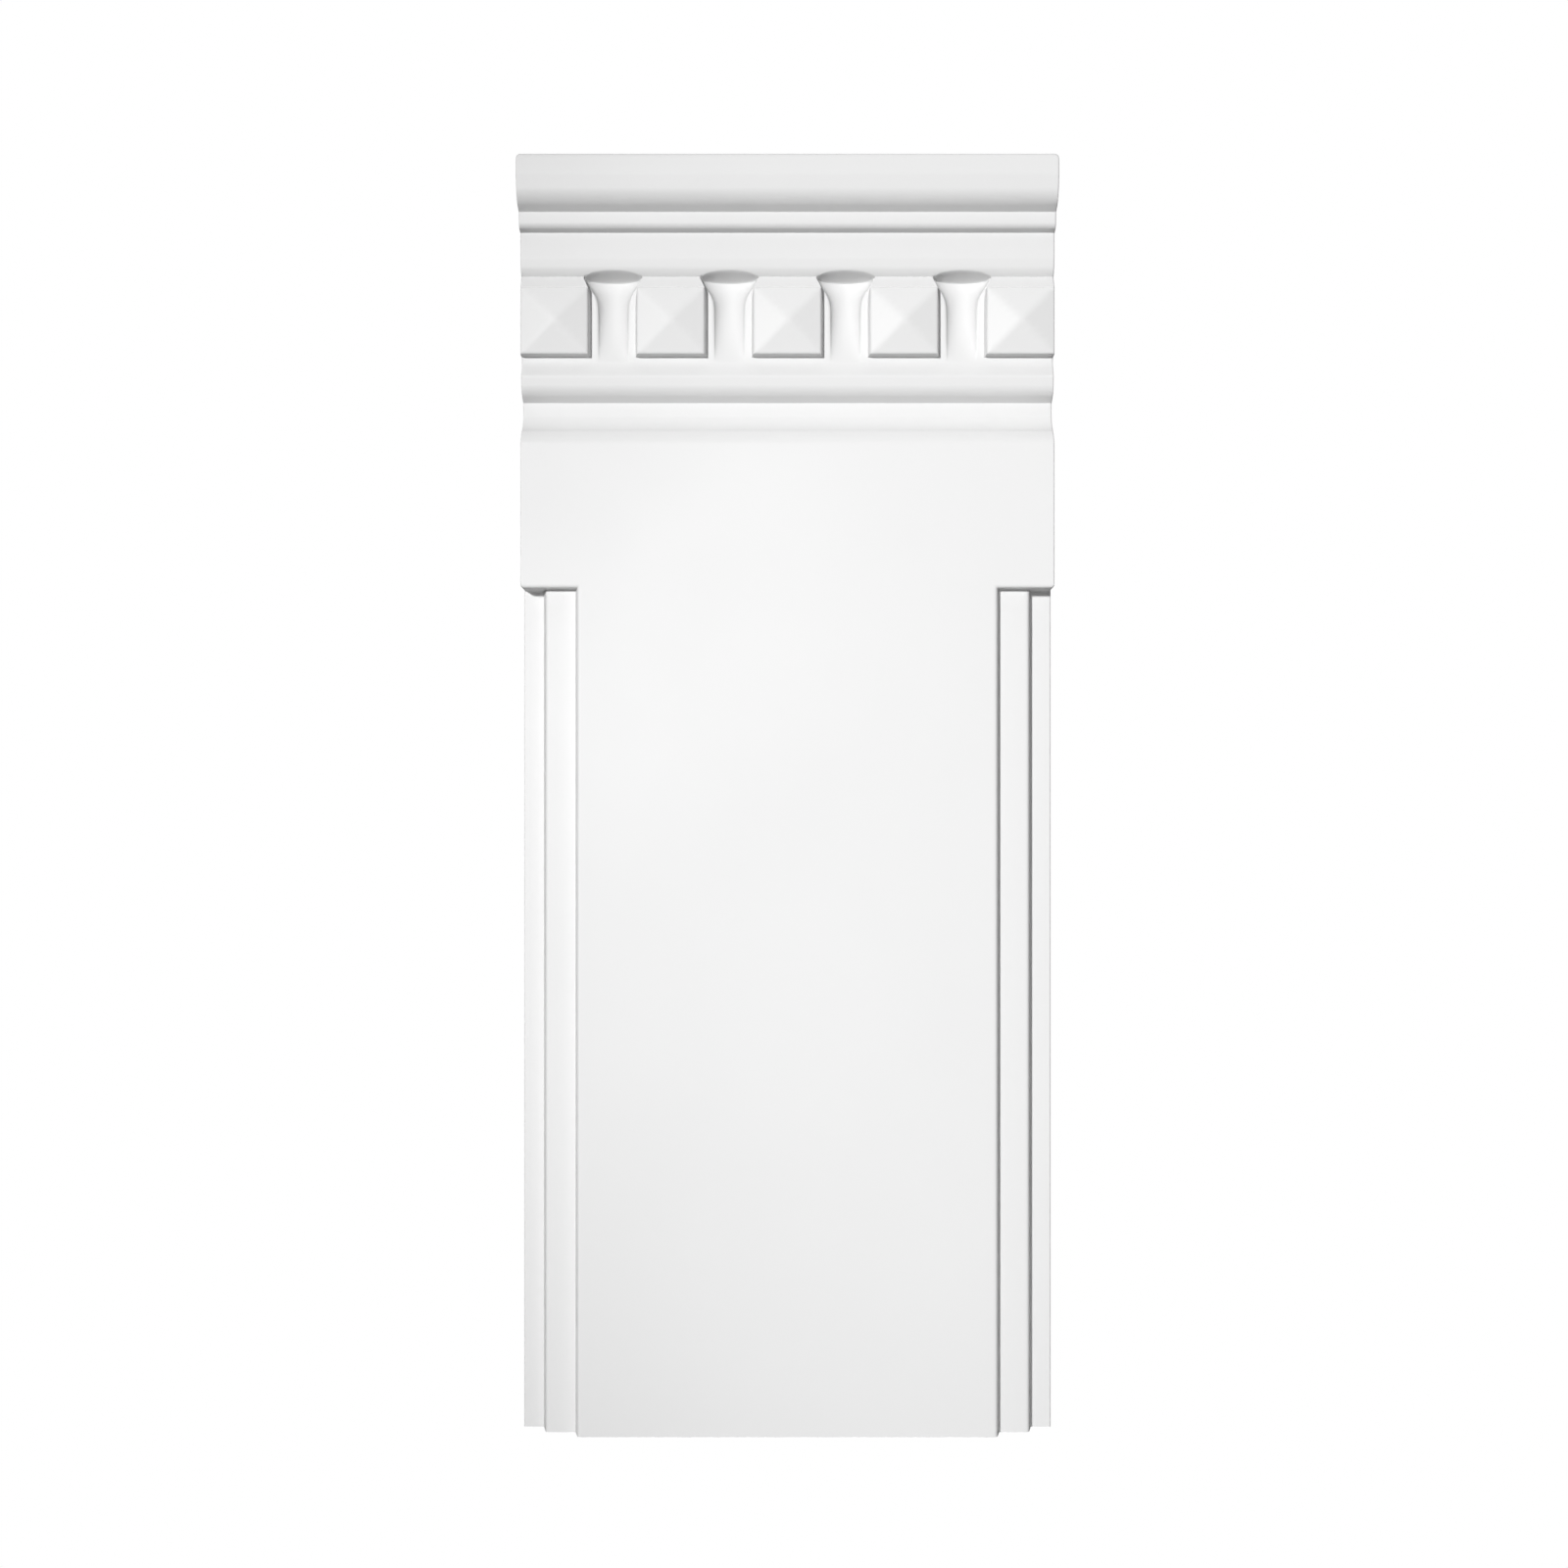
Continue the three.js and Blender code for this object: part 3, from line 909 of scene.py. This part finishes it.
class PILASTER_OT_moulding(bpy.types.Operator):
    """Build the pilaster as one moulded piece with softened edges"""

    bl_idname = "pilaster.moulding"
    bl_label = "Moulding"
    bl_options = {"REGISTER", "UNDO"}

    SHARP_FROM = math.radians(34)

    def execute(self, context):
        scene = context.scene
        moulding = Moulding(scene.pilaster_sizes)
        moulding.build()
        mesh = bpy.data.meshes.new("pilaster_moulding")
        mesh.from_pydata(moulding.points, [], moulding.faces)
        if mesh.validate():
            raise RuntimeError("the moulding's faces don't fit together")
        mesh.shade_smooth()
        mesh.set_sharp_from_angle(angle=self.SHARP_FROM)
        mesh.materials.append(sprayed_primer(scene.pilaster_finish))
        piece = bpy.data.objects.new("pilaster_moulding", mesh)
        scene.collection.objects.link(piece)
        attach(piece, "root")
        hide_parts("pilaster")
        return {"FINISHED"}


def hang(lamp, place, aim):
    """Puts a lamp in its place, turned towards its aim."""
    holder = bpy.data.objects.new(lamp.name, lamp)
    holder.location = place
    holder.rotation_euler = (Vector(aim) - Vector(place)).to_track_quat("-Z", "Y").to_euler()
    bpy.context.scene.collection.objects.link(holder)


def soft_light(name, place, aim, size, power):
    """Rectangular soft light."""
    lamp = bpy.data.lights.new(name, "AREA")
    lamp.shape = "RECTANGLE"
    lamp.size, lamp.size_y = size
    lamp.energy = power
    hang(lamp, place, aim)


def beam_light(name, place, aim, radius, beam, power):
    """Lamp whose beam fades evenly from its middle outwards."""
    lamp = bpy.data.lights.new(name, "SPOT")
    lamp.shadow_soft_size = radius
    lamp.spot_size = beam
    lamp.spot_blend = 1.0
    lamp.energy = power
    hang(lamp, place, aim)


class PILASTER_OT_stage(bpy.types.Operator):
    """Set up the pale floor, the soft light and the camera"""

    bl_idname = "pilaster.stage"
    bl_label = "Stage"
    bl_options = {"REGISTER", "UNDO"}

    FRAME_PIXELS = 1600
    FOCAL_PIXELS = 1700  # frieze to camera, in pixels of the frame at the frieze
    AXIS_RIGHT = 3.5  # pixels of the frame by which the lens's axis lies right of its middle
    AXIS_DOWN = 12.0  # and below it
    SENSOR = 36.0  # width in mm
    FLOOR_RADIUS = 0.6
    FLOOR_LEVEL = -0.65
    FLOOR_SIDES = 96
    KEY_AIM = (0.24, 0, -0.05)
    KEY_RADIUS = 0.12
    KEY_BEAM = math.radians(31)
    # the other lamps, all turned towards the piece's middle: place, width and height, power
    SOFT_LAMPS = {
        "fill": ((0.8, -2.6, 0.1), (0.5, 0.5), 5),
        "low": ((0.05, -1.0, -0.35), (0.3, 0.2), 0.8),
        "top": ((0, -0.4, 1.3), (1.2, 0.8), 2.3),
        "rear left": ((-1.5, 1.3, 0.5), (1.0, 1.0), 18),
        "rear right": ((1.5, 1.3, 0.5), (1.0, 1.0), 18),
    }
    AMBIENT = 0.03
    BACKGROUND = 1.0

    def execute(self, context):
        scene = context.scene
        stage = scene.pilaster_stage
        self.add_camera(scene, stage)
        self.add_floor(scene, stage)
        self.add_light(stage)
        self.add_world(scene)
        scene.view_settings.view_transform = "Standard"
        scene.view_settings.look = "None"
        return {"FINISHED"}

    def add_camera(self, scene, stage):
        data = bpy.data.cameras.new("camera")
        data.sensor_width = self.SENSOR
        data.lens = self.SENSOR * self.FOCAL_PIXELS / self.FRAME_PIXELS
        data.shift_x = -self.AXIS_RIGHT / self.FRAME_PIXELS
        data.shift_y = self.AXIS_DOWN / self.FRAME_PIXELS
        camera = bpy.data.objects.new("camera", data)
        foot = -TOTAL_HEIGHT / 2 * MM
        camera.location = (0, -FACE * MM - stage.camera_distance, foot + stage.camera_height)
        camera.rotation_euler = (math.pi / 2, 0, 0)
        scene.collection.objects.link(camera)
        scene.camera = camera

    def add_floor(self, scene, stage):
        rim = []
        for side in range(self.FLOOR_SIDES):
            angle = 2 * math.pi * side / self.FLOOR_SIDES
            across, along = math.cos(angle), math.sin(angle)
            rim.append((self.FLOOR_RADIUS * across, self.FLOOR_RADIUS * along, self.FLOOR_LEVEL))
        mesh = bpy.data.meshes.new("floor")
        mesh.from_pydata(rim, [], [tuple(range(self.FLOOR_SIDES))])
        mesh.materials.append(painted_floor(stage))
        floor = bpy.data.objects.new("floor", mesh)
        scene.collection.objects.link(floor)

    def add_light(self, stage):
        beam_light(
            "key", stage.key_place, self.KEY_AIM, self.KEY_RADIUS, self.KEY_BEAM, stage.key_power
        )
        for name, (place, size, power) in self.SOFT_LAMPS.items():
            soft_light(name, place, (0, 0, 0), size, power)

    def add_world(self, scene):
        """White behind the piece, and a weak even light on it."""
        world = bpy.data.worlds.new("studio")
        world.use_nodes = True
        tree = world.node_tree
        tree.nodes.clear()
        ray = add_node(tree, "ShaderNodeLightPath")
        mix = add_node(tree, "ShaderNodeMixShader")
        tree.links.new(ray.outputs["Is Camera Ray"], mix.inputs[0])
        for socket, strength in ((1, self.AMBIENT), (2, self.BACKGROUND)):
            light = add_node(
                tree,
                "ShaderNodeBackground",
                inputs={"Color": (1, 1, 1, 1), "Strength": strength},
            )
            tree.links.new(light.outputs["Background"], mix.inputs[socket])
        output = add_node(tree, "ShaderNodeOutputWorld")
        tree.links.new(mix.outputs["Shader"], output.inputs["Surface"])
        scene.world = world


class PILASTER_PT_panel(bpy.types.Panel):
    """Sizes, finish and stage of the pilaster."""

    bl_idname = "PILASTER_PT_panel"
    bl_label = "Wall pilaster"
    bl_space_type = "VIEW_3D"
    bl_region_type = "UI"
    bl_category = "Pilaster"

    def draw(self, context):
        scene = context.scene
        for group in (scene.pilaster_sizes, scene.pilaster_finish, scene.pilaster_stage):
            box = self.layout.box()
            for name in type(group).__annotations__:
                box.prop(group, name)
        self.layout.operator("pilaster.moulding")
        self.layout.operator("pilaster.stage")


CLASSES = (
    PilasterSizes,
    PilasterFinish,
    PilasterStage,
    PILASTER_OT_moulding,
    PILASTER_OT_stage,
    PILASTER_PT_panel,
)


def register():
    for cls in CLASSES:
        bpy.utils.register_class(cls)
    bpy.types.Scene.pilaster_sizes = PointerProperty(type=PilasterSizes)
    bpy.types.Scene.pilaster_finish = PointerProperty(type=PilasterFinish)
    bpy.types.Scene.pilaster_stage = PointerProperty(type=PilasterStage)


def unregister():
    del bpy.types.Scene.pilaster_stage
    del bpy.types.Scene.pilaster_finish
    del bpy.types.Scene.pilaster_sizes
    for cls in reversed(CLASSES):
        bpy.utils.unregister_class(cls)


def main():
    register()
    bpy.ops.pilaster.moulding()
    bpy.ops.pilaster.stage()


if __name__ == "__main__":
    main()
